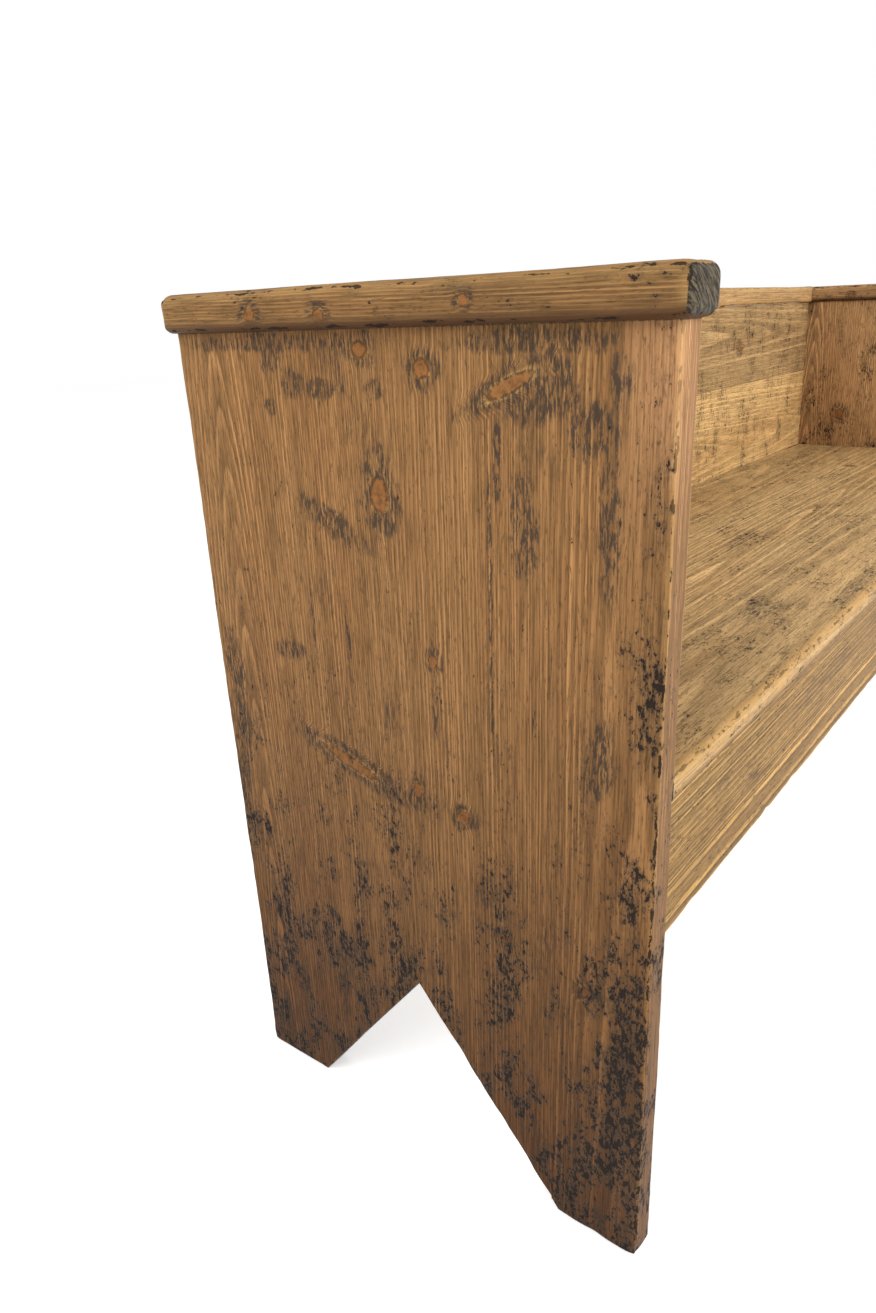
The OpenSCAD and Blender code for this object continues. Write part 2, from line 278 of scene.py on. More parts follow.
def point_normals(points, quads):
    """The mean normal at each point."""
    face = np.cross(points[quads[:, 2]] - points[quads[:, 0]], points[quads[:, 3]] - points[quads[:, 1]])
    total = np.zeros_like(points)
    for corner in range(4):
        np.add.at(total, quads[:, corner], face)
    return total / np.maximum(np.linalg.norm(total, axis=1, keepdims=True), 1e-12)


def looks_inwards(points, quads):
    """Whether the faces of a closed mesh look inwards."""
    points = points - points.mean(axis=0)
    a, b, c, d = (points[quads[:, corner]] for corner in range(4))
    return ((np.cross(b, c) + np.cross(c, d)) * a).sum() < 0


def write_values(mesh, name, kind, values):
    """Stores one value for each point of a mesh."""
    field = "vector" if kind == "FLOAT_VECTOR" else "value"
    mesh.attributes.new(name, kind, "POINT").data.foreach_set(field, np.asarray(values, np.float32).ravel())


def make_board(node, size, to_pew, radii, axes, heart, material, marks=(), keep=(), closer=1.0):
    """Makes the closed board that stands for a CAD node.

    size is along the grain, across it and through it, and to_pew turns places in that box into places in
    the pew. keep holds places across the grain that need a grid line, and closer shortens the grid's step.
    """
    shape = bpy.context.scene.pew_shape
    step = shape.mesh_step * closer
    size = np.array(size, float)
    soft = min(max(max(pair) for pair in radii), size.min() / 2.5)
    steps = (step * ALONG_STEP, step, step)
    lines = [grid_lines(size[i], steps[i], soft, keep if i == 1 else ()) for i in range(3)]
    flat, quads = box_skin(lines)
    worn = shape.worn_edge * WORN_SHARE
    points = to_pew(soften(flat, size, radii, shape.wear, heart.seed))
    if looks_inwards(points, quads):
        quads = quads[:, ::-1]
    square = to_pew(flat)
    waves = ripple(square, SLOW_WAVES, 5) + 0.35 * ripple(square, QUICK_WAVES, 6)
    height = shape.waviness * (waves - 1.35)
    height += mark_relief(square[:, axes[0]], square[:, axes[1]], marks)
    height -= dents(flat, size, radii, worn, shape.dents, heart.seed + 7)
    push = point_normals(points, quads) * np.minimum(height, 0.0)[:, None]
    for side, (low, high) in enumerate(radii):
        # A side that meets another board stays flush with it.
        flush = (low < worn) & (flat[:, side] < 1e-6) | (high < worn) & (flat[:, side] > size[side] - 1e-6)
        push[flush, axes[side]] = 0.0
    points += push

    mesh = bpy.data.meshes.new(node + "_worn")
    mesh.from_pydata(points.tolist(), [], quads.tolist())
    mesh.polygons.foreach_set("use_smooth", np.ones(len(quads), bool))
    mesh.materials.append(material)
    log = square[:, list(axes)]
    middle = (log.max(axis=0) + log.min(axis=0)) / 2
    log -= middle
    log[:, 1] -= heart.across
    log[:, 2] += heart.depth + heart.slope * log[:, 0]
    log[:, 0] += heart.seed * 1.7
    write_values(mesh, "log", "FLOAT_VECTOR", log)
    write_values(mesh, "edge", "FLOAT", edge_distance(flat, size, radii, worn))
    write_values(mesh, "cut", "FLOAT", np.minimum(flat[:, 0], size[0] - flat[:, 0]))
    board = bpy.data.objects.new(mesh.name, mesh)
    bpy.context.scene.collection.objects.link(board)
    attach(board, BODY)
    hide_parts(node)


def straight(node, axes, overlap=OVERLAP):
    """The size of a CAD node's box along a board's own axes, and how to place that box in the pew.

    The board runs past the box by overlap at both ends of its grain.
    """
    low, high = (np.array(corner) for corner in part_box(node))
    low[axes[0]] -= overlap
    high[axes[0]] += overlap
    order = list(axes)

    def to_pew(place):
        world = np.empty_like(place)
        world[:, order] = place + low[order]
        return world

    return (high - low)[order], to_pew


def leaning(node, axes, thickness, overlap=OVERLAP):
    """As straight does, for a board that leans back with the pew's rear edge."""
    size, to_upright = straight(node, axes, overlap)
    low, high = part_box(node)
    lean = (high.y - low.y - thickness) / (high.z - low.z)
    size[list(axes).index(1)] = thickness

    def to_pew(place):
        world = to_upright(place)
        world[:, 1] += (world[:, 2] - low.z) * lean
        return world

    return size, to_pew


def end_board_shape(node):
    """The size of an end board, how to place it in the pew, and the corners along its foot."""
    corners = np.array([vertex.co for vertex in frame["nodes"][node].data.vertices])
    side = math.copysign(1.0, corners[:, 0].mean())
    outer = side * np.abs(corners[:, 0]).max()
    face = corners[np.abs(corners[:, 0] - outer) < 1e-5][:, 1:]
    top = face[:, 1].max()
    foot = np.unique(face[face[:, 1] < top / 2].round(5), axis=0)
    upper = face[face[:, 1] > top - 1e-4][:, 0]
    start = foot[0, 0]
    width = foot[-1, 0] - start
    spread = (upper.max() - upper.min()) / width - 1.0
    height = top + OVERLAP

    def to_pew(place):
        along = start + place[:, 1]
        ground = np.interp(along, foot[:, 0], foot[:, 1])
        z = ground + place[:, 0] / height * (height - ground)
        y = start + place[:, 1] * (1.0 + spread * z / top)
        return np.column_stack([outer - side * place[:, 2], y, z])

    thickness = np.abs(corners[:, 0]).max() - np.abs(corners[:, 0]).min()
    return (height, width, thickness), to_pew, foot[1:-1, 0] - start


# ---- Materials ------------------------------------------------------------------------------


class Graph:
    """Puts nodes into a tree and joins them up."""

    def __init__(self, tree):
        self.tree = tree

    def node(self, kind, inputs=None, **settings):
        made = self.tree.nodes.new(kind)
        for name, value in settings.items():
            setattr(made, name, value)
        for name, value in (inputs or {}).items():
            self.feed(made.inputs[name], value)
        return made

    def feed(self, socket, value):
        if isinstance(value, bpy.types.NodeSocket):
            self.tree.links.new(value, socket)
        elif socket.type == "RGBA":
            socket.default_value = (*value, 1.0)
        else:
            socket.default_value = value

    def math(self, operation, *values):
        return self.node("ShaderNodeMath", dict(enumerate(values)), operation=operation).outputs[0]

    def times(self, first, second):
        return self.math("MULTIPLY", first, second)

    def times_add(self, first, second, third):
        """The first value times the second, plus the third."""
        return self.math("MULTIPLY_ADD", first, second, third)

    def vector(self, operation, *values):
        made = self.node("ShaderNodeVectorMath", dict(enumerate(values)), operation=operation)
        return made.outputs["Value" if operation == "LENGTH" else "Vector"]

    def step(self, value, low, high, start=0.0, end=1.0):
        """Eases from start to end while value goes from low to high."""
        inputs = {"Value": value, "From Min": low, "From Max": high, "To Min": start, "To Max": end}
        return self.node("ShaderNodeMapRange", inputs, interpolation_type="SMOOTHSTEP").outputs[0]

    def mix(self, share, below, above, blend="MIX"):
        inputs = {0: share, 6: below, 7: above}
        return self.node("ShaderNodeMix", inputs, data_type="RGBA", blend_type=blend).outputs[2]

    def noise(self, place, scale, detail=2.0, roughness=0.5, stretch=(1.0, 1.0, 1.0)):
        place = self.vector("MULTIPLY", place, stretch)
        inputs = {"Vector": place, "Scale": scale, "Detail": detail, "Roughness": roughness}
        return self.node("ShaderNodeTexNoise", inputs).outputs["Fac"]

    def split(self, place):
        return self.node("ShaderNodeSeparateXYZ", {0: place}).outputs

    def join(self, x, y, z):
        return self.node("ShaderNodeCombineXYZ", {0: x, 1: y, 2: z}).outputs[0]

    def stored(self, name):
        return self.node("ShaderNodeAttribute", attribute_name=name).outputs

    def group(self, make, **inputs):
        """Places the node group that make builds."""
        name = make.__doc__.split(":")[0]
        tree = bpy.data.node_groups.get(name) or make(name)
        placed = self.node("ShaderNodeGroup", node_tree=tree)
        for key, value in inputs.items():
            self.feed(placed.inputs[socket_label(key)], value)
        return placed.outputs

    def results(self, **values):
        """Gives a node group its named outputs, and returns its tree."""
        for key in values:
            self.tree.interface.new_socket(socket_label(key), in_out="OUTPUT", socket_type="NodeSocketFloat")
        ends = self.node("NodeGroupOutput").inputs
        for key, value in values.items():
            self.feed(ends[socket_label(key)], value)
        return self.tree


def socket_label(key):
    """A socket's label: the key late_wood stands for Late Wood."""
    return key.replace("_", " ").title()


def new_group(name, inputs):
    """A node group with named inputs: its graph and its inner inputs."""
    tree = bpy.data.node_groups.new(name, "ShaderNodeTree")
    for label, value in inputs.items():
        kind = "NodeSocketFloat" if isinstance(value, float) else "NodeSocketVector"
        tree.interface.new_socket(label, in_out="INPUT", socket_type=kind).default_value = value
    graph = Graph(tree)
    return graph, graph.node("NodeGroupInput").outputs


def new_material(name):
    """A material, its graph and its shader."""
    material = bpy.data.materials.new(name)
    material.use_nodes = True
    return material, Graph(material.node_tree), material.node_tree.nodes["Principled BSDF"]


def shaded(base, share):
    """A colour with its channels multiplied, by one number or by one number each."""
    shares = share if isinstance(share, tuple) else (share,) * 3
    return [channel * part for channel, part in zip(base, shares)]


def growth_rings(name):
    """Growth Rings: hard and soft wood, fibre, pores and slow streaks round the heart of a log."""
    inputs = {"Log": (0.0, 0.0, 0.0), "Ring Width": 0.0036, "Wobble": 0.004, "Bend": 0.0}
    graph, given = new_group(name, inputs)
    log = given["Log"]
    slow = graph.noise(log, 1.0, 3.0, stretch=(2.2, 11.0, 11.0))
    sway = graph.times(given["Wobble"], 2.0)
    warp = graph.times(graph.math("SUBTRACT", slow, 0.5), sway)
    across = graph.vector("LENGTH", graph.vector("MULTIPLY", log, (0.0, 1.0, 1.0)))
    radius = graph.math("ADD", graph.math("ADD", across, warp), given["Bend"])
    spacing = graph.node("ShaderNodeTexNoise", {"W": radius, "Scale": 42.0}, noise_dimensions="1D").outputs[0]
    age = graph.times_add(spacing, 5.0, graph.math("DIVIDE", radius, given["Ring Width"]))
    season = graph.math("FRACT", age)
    count = graph.math("FLOOR", age)
    year = graph.node("ShaderNodeTexWhiteNoise", {"W": count}, noise_dimensions="1D").outputs[0]
    grow = graph.step(season, 0.42, 0.84)
    stop = graph.step(season, 0.92, 1.0, 1.0, 0.0)
    streak = graph.noise(log, 1.0, 4.0, 0.55, (3.5, 75.0, 75.0))
    strength = graph.times_add(year, 0.75, 0.25)
    soft = graph.times(graph.step(season, 0.05, 0.38, 1.0, 0.0), strength)
    late = graph.times(graph.times(grow, stop), strength)
    late = graph.times(late, graph.step(streak, 0.25, 0.65, 0.35, 1.0))
    fibre = graph.noise(log, 1.0, 3.0, 0.6, (22.0, 760.0, 760.0))
    tick = graph.step(graph.noise(log, 1.0, 2.0, 0.5, (110.0, 760.0, 760.0)), 0.57, 0.70)
    return graph.results(late_wood=late, soft_wood=soft, fibre=fibre, streak=streak, tick=tick)


def wood_knot(name):
    """Knot: the middle, rim and pale border of a knot, the dirt round it, and how it bends the rings."""
    inputs = {"Face": (0.0, 0.0, 0.0), "Middle": (0.0, 0.0, 0.0), "Length": 0.02, "Width": 0.02, "Tilt": 0.0}
    graph, given = new_group(name, inputs)
    away = graph.vector("SUBTRACT", given["Face"], given["Middle"])
    turn = {"Vector": away, "Angle": given["Tilt"]}
    turned = graph.node("ShaderNodeVectorRotate", turn, rotation_type="Z_AXIS")
    size = graph.join(given["Length"], given["Width"], 1.0)
    distance = graph.vector("LENGTH", graph.vector("DIVIDE", turned.outputs[0], size))
    distance = graph.times(distance, 2.0)
    bend = graph.step(distance, 0.3, 3.0, 0.32, 0.0)
    bend = graph.times(bend, given["Width"])
    rough = graph.noise(given["Face"], 150.0, 4.0, 0.66)
    halo = graph.step(distance, 0.4, 2.1, 1.0, 0.0)
    distance = graph.times_add(rough, 0.8, graph.math("SUBTRACT", distance, 0.4))
    rings = graph.math("SINE", graph.times(distance, 17.0))
    shade = graph.times_add(rings, 0.08, graph.times_add(rough, 2.4, -0.85))
    rim = graph.times(graph.step(distance, 0.72, 0.95), graph.step(distance, 1.0, 1.25, 1.0, 0.0))
    rim = graph.times(rim, graph.step(rough, 0.36, 0.50))
    dirt = graph.times(graph.step(distance, 1.0, 1.2), graph.step(distance, 1.2, 3.2, 1.0, 0.0))
    core = graph.step(distance, 0.8, 1.05, 1.0, 0.0)
    border = graph.step(distance, 1.05, 1.5, 1.0, 0.0)
    shade = graph.step(shade, 0.0, 1.0)
    return graph.results(core=core, shade=shade, rim=rim, border=border, halo=halo, dirt=dirt, bend=bend)


def old_paint(name):
    """Old Paint: flecks of old paint that gather in clusters and lie in the soft wood between the rings."""
    inputs = {"Face": (0.0, 0.0, 0.0), "Amount": 0.3, "Size": 0.0035, "Late Wood": 0.0}
    graph, given = new_group(name, inputs)
    gather = graph.noise(given["Face"], 1.0, 6.0, 0.72, (14.0, 26.0, 26.0))
    density = graph.times(graph.step(gather, 0.36, 0.66, 0.05, 1.0), given["Amount"])
    density = graph.math("MINIMUM", density, 1.14)
    place = graph.vector("DIVIDE", given["Face"], graph.join(given["Size"], given["Size"], given["Size"]))
    coarse = graph.noise(place, 0.5, 5.0, 0.72, (0.62, 1.0, 1.0))
    fine = graph.noise(place, 1.25, 3.0, 0.6, (0.45, 1.0, 1.0))
    limit = graph.times_add(density, -0.19, 0.72)
    limit = graph.times_add(given["Late Wood"], 0.10, limit)
    over = graph.math("SUBTRACT", graph.math("MAXIMUM", coarse, graph.math("SUBTRACT", fine, 0.035)), limit)
    haze = graph.times(graph.step(over, -0.16, 0.02), density)
    return graph.results(fleck=graph.step(over, 0.0, 0.03), haze=haze)


def smoky_stain(name):
    """Smoky Stain: dark patches hatched with the short open pores of the wood."""
    inputs = {"Face": (0.0, 0.0, 0.0), "Amount": 0.3, "Spot": 0.0}
    graph, given = new_group(name, inputs)
    cloud = graph.noise(given["Face"], 1.0, 4.0, 0.6, (7.0, 17.0, 17.0))
    limit = graph.times_add(given["Amount"], -0.3, 0.78)
    patch = graph.step(graph.math("SUBTRACT", cloud, limit), -0.05, 0.14)
    ragged = graph.noise(given["Face"], 1.0, 6.0, 0.72, (30.0, 62.0, 62.0))
    ragged = graph.step(graph.times_add(given["Spot"], 0.36, ragged), 0.53, 0.78)
    ragged = graph.times(ragged, graph.step(given["Spot"], 0.0, 0.25))
    hatch = graph.noise(given["Face"], 1.0, 4.0, 0.66, (95.0, 480.0, 480.0))
    hatch = graph.step(hatch, 0.45, 0.56, 0.15, 1.0)
    return graph.results(stain=graph.times(graph.math("MAXIMUM", patch, ragged), hatch))


def worn_edge(name):
    """Worn Edge: pale rubbed wood along the worn edges, and paint left beside it in dashes."""
    inputs = {"Edge": FAR, "Face": (0.0, 0.0, 0.0), "Reach": 0.004}
    graph, given = new_group(name, inputs)
    patchy = graph.noise(given["Face"], 1.0, 4.0, 0.6, (22.0, 60.0, 60.0))
    share = graph.math("DIVIDE", given["Edge"], given["Reach"])
    share = graph.times_add(patchy, 1.6, graph.math("SUBTRACT", share, 0.8))
    rubbed = graph.step(share, 0.15, 1.2, 1.0, 0.0)
    dash = graph.noise(given["Face"], 1.0, 4.0, 0.68, (58.0, 150.0, 150.0))
    near = graph.step(given["Edge"], 0.0008, 0.0052, 0.05, -0.12)
    return graph.results(rubbed=rubbed, dash=graph.step(graph.math("ADD", dash, near), 0.56, 0.60))


# What each layer of the grain takes from, or adds to, the colour of the pine.
RED_BROWN = (0.80, 0.70, 0.62)
PALE_STREAK = 1.4
SOFT_WOOD = 0.60
MOTTLE = 0.5
LATE_WOOD = 2.4
DARK_FIBRE = 0.38
PALE_FIBRE = 1.6
PORE = 0.22
KNOT_CRACK = 0.34
FRONT_LINE = 0.72
# What the dirt of the floor, and painted shade against the light thrown up by the glowing floor, take from
# the colour of the feet.
GRIME_AND_SHADE = (0.25, 0.170, 0.095)
# How much lighter the front edge is, partly rubbed clean and partly painted light, and the painted highlight
# on a strip at the top of the face behind it.
RUBBED_AND_LIT_FRONT = (1.24, 1.25, 1.26)
PAINTED_HIGHLIGHT = (1.42, 1.46, 1.72)
# Where an end board's bands start and stop, from front to back.
FRONT_EDGE = (-0.2275, -0.2262)
FRONT_BAND = (-0.225, -0.165)
PAINTED_HIGHLIGHT_BAND = (-0.215, -0.175)
REAR_BAND = (0.150, 0.215)
# The heights over which dirt, painted shade and paint fade out above the feet, and in which the top of an end
# begins.
FEET = (-0.05, 0.66)
TOP = (0.60, 0.73)
# A knot longer or wider than this has a broad pale border.
BIG_KNOT = 0.03
# How far above its height the painted shade and dirt below an edge fade out.
SHADE_FADE = 0.010


def place_mark(graph, face, mark):
    """Places the pattern of a knot, or of the stain round one, on a mark."""
    middle = (mark.along, mark.across, 0.0)
    tilt = math.radians(mark.tilt)
    return graph.group(wood_knot, face=face, middle=middle, length=mark.length, width=mark.width, tilt=tilt)


def grain_colour(graph, place, base, rings, broad, late, tick, streaks):
    """The colour of clean pine: the base colour with the layers of its grain over it."""
    mottle = graph.noise(place, 1.0, 4.0, 0.62, (6.0, 40.0, 40.0))
    layers = (
        (graph.step(broad, 0.3, 0.7, 0.0, 0.75), RED_BROWN),
        (graph.step(rings["Streak"], 0.45, 0.75, 0.0, streaks), PALE_STREAK),
        (graph.times(rings["Soft Wood"], late), SOFT_WOOD),
        (graph.step(mottle, 0.44, 0.74, 0.0, 0.5), MOTTLE),
        (graph.times(rings["Late Wood"], late), LATE_WOOD),
        (graph.step(rings["Fibre"], 0.47, 0.66, 0.0, 0.70), DARK_FIBRE),
        (graph.step(rings["Fibre"], 0.32, 0.46, 0.35, 0.0), PALE_FIBRE),
        (graph.times(rings["Tick"], tick), PORE),
    )
    colour = base
    for share, change in layers:
        colour = graph.mix(share, colour, shaded(base, change))
    return colour


def knots_and_stain(graph, face, place, colour, marks, knots, stain):
    """The colour with its knots, their dirt and the smoky stain over it."""
    tints = bpy.context.scene.pew_colours
    dirt = 0.0
    for mark, knot in knots.items():
        pale = 0.6 if max(mark.length, mark.width) > BIG_KNOT else 0.18
        colour = graph.mix(graph.times(knot["Border"], pale), colour, tints.worn_pine)
        core = graph.mix(knot["Shade"], tints.knot, shaded(tints.knot, KNOT_CRACK))
        colour = graph.mix(graph.times(knot["Core"], 0.85), colour, core)
        colour = graph.mix(graph.times(knot["Rim"], 0.8), colour, tints.knot_rim_rust_and_shade)
        dirt = graph.times_add(knot["Dirt"], 0.95, dirt)
    for mark in marks:
        if mark.kind == "stain":
            dirt = graph.math("MAXIMUM", dirt, place_mark(graph, face, mark)["Halo"])
    stained = graph.group(smoky_stain, face=place, amount=stain, spot=dirt)["Stain"]
    for knot in knots.values():
        stained = graph.times(stained, graph.step(knot["Core"], 0.0, 1.0, 1.0, 0.12))
    return graph.mix(graph.times(stained, 0.88), colour, tints.stain)


def front_wear(graph, parts, place, base, colour, amount, low, high, front_paint):
    """The colour and the amount of paint of an end, with its painted bands and its rubbed front edge."""
    # The band behind the front edge holds the most paint, and the front edge itself is rubbed clean.
    band = graph.step(parts[1], *FRONT_BAND, front_paint, 0.0)
    amount = graph.times_add(band, graph.times_add(high, -0.75, 1.0), amount)
    behind = graph.times(graph.step(parts[1], *REAR_BAND, 0.0, 0.7), low)
    amount = graph.math("ADD", amount, behind)
    clean = graph.step(parts[1], *FRONT_EDGE, 1.0, 0.0)
    amount = graph.times_add(clean, -0.8 * front_paint, amount)
    # The front face is lightened: partly where it is rubbed clean, and partly as painted light on the face
    # that looks to the front.
    colour = graph.mix(clean, colour, RUBBED_AND_LIT_FRONT, "MULTIPLY")
    lines = graph.step(graph.noise(place, 1.0, 3.0, 0.6, (3.0, 10.0, 300.0)), 0.46, 0.56, 0.0, 0.8)
    colour = graph.mix(graph.times(clean, lines), colour, shaded(base, FRONT_LINE))
    # Painted highlight: a lighter, bluer strip along the top of the face just behind the front edge.
    painted_highlight = graph.times(graph.step(parts[1], *PAINTED_HIGHLIGHT_BAND, 1.0, 0.0), high)
    return graph.mix(painted_highlight, colour, PAINTED_HIGHLIGHT, "MULTIPLY"), amount


def sawn_ends(graph, parts, axes, cut, colour):
    """The colour with weathered, cracked end grain where a board was cut across."""
    tints = bpy.context.scene.pew_colours
    along, across, through = (parts[axis] for axis in axes)
    ends = graph.step(cut, 0.0003, 0.0016, 1.0, 0.0)
    slant = graph.join(along, graph.math("ADD", across, through), through)
    cracks = graph.step(graph.noise(slant, 1.0, 4.0, 0.66, (40.0, 620.0, 190.0)), 0.40, 0.56, 0.0, 0.92)
    colour = graph.mix(graph.times(ends, 0.85), colour, tints.end_grain)
    return graph.mix(graph.times(ends, cracks), colour, tints.paint)


def pine(name, base, axes, marks=(), *, ring=0.0036, late=0.5, tick=0.55, streaks=0.5, paint=0.3,
         fleck=0.0035, front_paint=0.0, turn_paint=False, stain=0.3, wear=1.0, reach=0.004, grime_and_shade=0.0,
         dash=0.4, shade_below=0.0, made_here=True):
    """Pine with growth rings, knots, old paint, stain and worn edges.

    axes are the board's own. ring, fleck and reach are the sizes of a growth ring, a fleck of paint and a
    rubbed edge, shade_below is the height under which the wood lies in shade, and turn_paint turns the
    flecks across the grain. made_here is False for a CAD piece, which has no stored grain. The others are
    amounts, and 0 is none.
    """
    tints = bpy.context.scene.pew_colours
    material, graph, shader = new_material(name)
    parts = graph.split(graph.node("ShaderNodeTexCoord").outputs["Object"])
    place = graph.join(*(parts[axis] for axis in axes))
    face = graph.join(parts[axes[0]], parts[axes[1]], 0.0)
    if made_here:
        log = graph.stored("log")["Vector"]
        edge = graph.stored("edge")["Fac"]
        cut = graph.stored("cut")["Fac"]
    else:
        log = graph.vector("ADD", place, (0.0, 0.05, 0.11))
        edge = cut = FAR

    knots = {mark: place_mark(graph, face, mark) for mark in marks if mark.kind == "knot"}
    bend = 0.0
    for knot in knots.values():
        bend = graph.math("ADD", bend, knot["Bend"])
    rings = graph.group(growth_rings, log=log, ring_width=ring, bend=bend)
    broad = graph.noise(place, 1.0, 2.0, 0.5, (1.6, 12.0, 12.0))
    colour = grain_colour(graph, place, base, rings, broad, late, tick, streaks)
    colour = knots_and_stain(graph, face, place, colour, marks, knots, stain)

    worn = graph.group(worn_edge, edge=edge, face=place, reach=reach)
    colour = graph.mix(graph.times(worn["Rubbed"], 0.6 * wear), colour, tints.worn_pine)
    # Painted shade, with some dirt: the wood just below shade_below is darkened towards a dark brown.
    if shade_below:
        under = graph.step(parts[2], shade_below, shade_below + SHADE_FADE, 0.95, 0.0)
        under = graph.times(under, graph.step(broad, 0.2, 0.6, 0.6, 1.0))
        colour = graph.mix(under, colour, tints.knot_rim_rust_and_shade)
    # Darker towards the feet: floor dirt, and painted shade against the light that the glowing floor throws
    # up.
    low = graph.step(parts[2], *FEET, 1.0, 0.0)
    colour = graph.mix(graph.times(low, grime_and_shade), colour, GRIME_AND_SHADE, "MULTIPLY")

    amount = graph.times_add(graph.math("POWER", low, 1.15), grime_and_shade * 1.5, paint)
    dashes = graph.times(worn["Dash"], dash)
    if front_paint:
        high = graph.step(parts[2], *TOP)
        colour, amount = front_wear(graph, parts, place, base, colour, amount, low, high, front_paint)
        dashes = graph.times(dashes, graph.times_add(high, -0.6, 1.0))
    flecks_at = graph.join(parts[axes[1]], parts[axes[0]], parts[axes[2]]) if turn_paint else place
    painted = graph.group(old_paint, face=flecks_at, amount=amount, size=fleck, late_wood=rings["Late Wood"])
    colour = sawn_ends(graph, parts, axes, cut, colour)
    colour = graph.mix(graph.times(painted["Haze"], 0.6), colour, tints.stain)
    black = graph.math("MAXIMUM", painted["Fleck"], dashes)
    colour = graph.mix(graph.times(black, 0.93), colour, tints.paint)

    rough = graph.times_add(rings["Fibre"], 0.18, 0.42)
    rough = graph.times_add(black, 0.22, rough)
    height = graph.times_add(rings["Late Wood"], 0.6, graph.times(rings["Fibre"], 0.5))
    height = graph.times_add(black, 0.7, height)
    bump = graph.node("ShaderNodeBump", {"Height": height, "Strength": 0.35, "Distance": 0.0006})
    graph.feed(shader.inputs["Base Color"], colour)
    graph.feed(shader.inputs["Roughness"], rough)
    graph.feed(shader.inputs["Normal"], bump.outputs[0])
    shader.inputs["Specular IOR Level"].default_value = 0.07
    return material


def beech_dowel():
    """Plain beech with fine flecks."""
    tints = bpy.context.scene.pew_colours
    material, graph, shader = new_material("beech_dowel")
    world = graph.node("ShaderNodeTexCoord").outputs["Object"]
    grain = graph.noise(world, 260.0, 3.0, 0.6)
    colour = graph.mix(graph.step(grain, 0.35, 0.7), tints.beech, shaded(tints.beech, 0.6))
    bump = graph.node("ShaderNodeBump", {"Height": grain, "Strength": 0.3, "Distance": 0.0004})
    graph.feed(shader.inputs["Base Color"], colour)
    graph.feed(shader.inputs["Roughness"], graph.step(grain, 0.3, 0.7, 0.5, 0.65))
    graph.feed(shader.inputs["Normal"], bump.outputs[0])
    return material


def dull_steel():
    """Dull steel with a little brown rust."""
    tints = bpy.context.scene.pew_colours
    material, graph, shader = new_material("dull_steel")
    world = graph.node("ShaderNodeTexCoord").outputs["Object"]
    rust = graph.step(graph.noise(world, 700.0, 4.0, 0.6), 0.48, 0.62)
    colour = graph.mix(rust, tints.steel, tints.knot_rim_rust_and_shade)
    graph.feed(shader.inputs["Base Color"], colour)
    graph.feed(shader.inputs["Metallic"], graph.step(rust, 0.0, 1.0, 0.9, 0.2))
    graph.feed(shader.inputs["Roughness"], graph.step(rust, 0.0, 1.0, 0.42, 0.8))
    return material


# ---- Pieces ---------------------------------------------------------------------------------

LEFT_MARKS = (
    Mark("knot", 0.716, -0.108, 0.010, 0.041, -25.0),
    Mark("knot", 0.727, -0.035, 0.014, 0.014),
    Mark("knot", 0.740, 0.022, 0.012, 0.015),
    Mark("knot", 0.634, 0.011, 0.028, 0.018),
    Mark("knot", 0.392, 0.063, 0.012, 0.064, 16.0),
    Mark("knot", 0.387, -0.0136, 0.015, 0.009),
    Mark("knot", 0.507, -0.035, 0.010, 0.009),
    Mark("knot", 0.376, -0.060, 0.012, 0.014),
    Mark("knot", 0.273, -0.0996, 0.010, 0.010),
    Mark("knot", 0.108, 0.163, 0.016, 0.013),
    Mark("knot", 0.255, -0.175, 0.010, 0.012),
    Mark("gouge", 0.612, 0.065, 0.008, 0.064, 25.0),
    Mark("stain", 0.608, 0.063, 0.018, 0.066, 25.0),
    Mark("stain", 0.714, -0.130, 0.036, 0.050, -15.0),
    Mark("stain", 0.665, -0.098, 0.050, 0.006),
    Mark("stain", 0.625, -0.118, 0.058, 0.022),
    Mark("stain", 0.560, -0.091, 0.160, 0.0035),
    Mark("stain", 0.519, 0.095, 0.050, 0.0030),
    Mark("stain", 0.475, -0.128, 0.040, 0.0030),
    Mark("stain", 0.470, -0.035, 0.070, 0.0035),
    Mark("stain", 0.510, 0.055, 0.050, 0.0040),
    Mark("stain", 0.486, 0.127, 0.014, 0.026),
    Mark("stain", 0.630, -0.185, 0.085, 0.012),
    Mark("stain", 0.652, 0.016, 0.030, 0.026),
    # These two thin, long marks along the top of the end, just under the cap, are painted shade.
    Mark("stain", 0.746, 0.120, 0.010, 0.160),
    Mark("stain", 0.744, -0.130, 0.012, 0.100),
    Mark("stain", 0.735, 0.118, 0.018, 0.016),
    Mark("stain", 0.716, 0.095, 0.016, 0.020),
    Mark("stain", 0.697, 0.122, 0.009, 0.010),
    Mark("stain", 0.712, 0.060, 0.012, 0.032),
    Mark("stain", 0.690, -0.172, 0.026, 0.030),
    Mark("stain", 0.460, -0.180, 0.050, 0.020),
    Mark("stain", 0.430, 0.206, 0.090, 0.022),
    Mark("stain", 0.340, 0.214, 0.060, 0.014),
    Mark("stain", 0.712, 0.010, 0.010, 0.014),
    Mark("stain", 0.720, -0.190, 0.030, 0.012),
)
RIGHT_MARKS = (
    Mark("knot", 0.602, -0.180, 0.016, 0.013),
    Mark("knot", 0.660, 0.050, 0.018, 0.024, 10.0),
    Mark("knot", 0.690, -0.070, 0.012, 0.010),
    Mark("knot", 0.520, 0.120, 0.022, 0.018),
    Mark("knot", 0.300, -0.110, 0.015, 0.019),
    Mark("knot", 0.240, 0.150, 0.012, 0.012),
    Mark("stain", 0.560, -0.030, 0.080, 0.030),
    Mark("stain", 0.400, 0.060, 0.060, 0.030),
)
LEFT_CAP_MARKS = (
    Mark("knot", 0.122, 0.767, 0.012, 0.010),
    Mark("knot", 0.048, 0.764, 0.012, 0.010),
    Mark("knot", -0.082, 0.770, 0.008, 0.008),
)
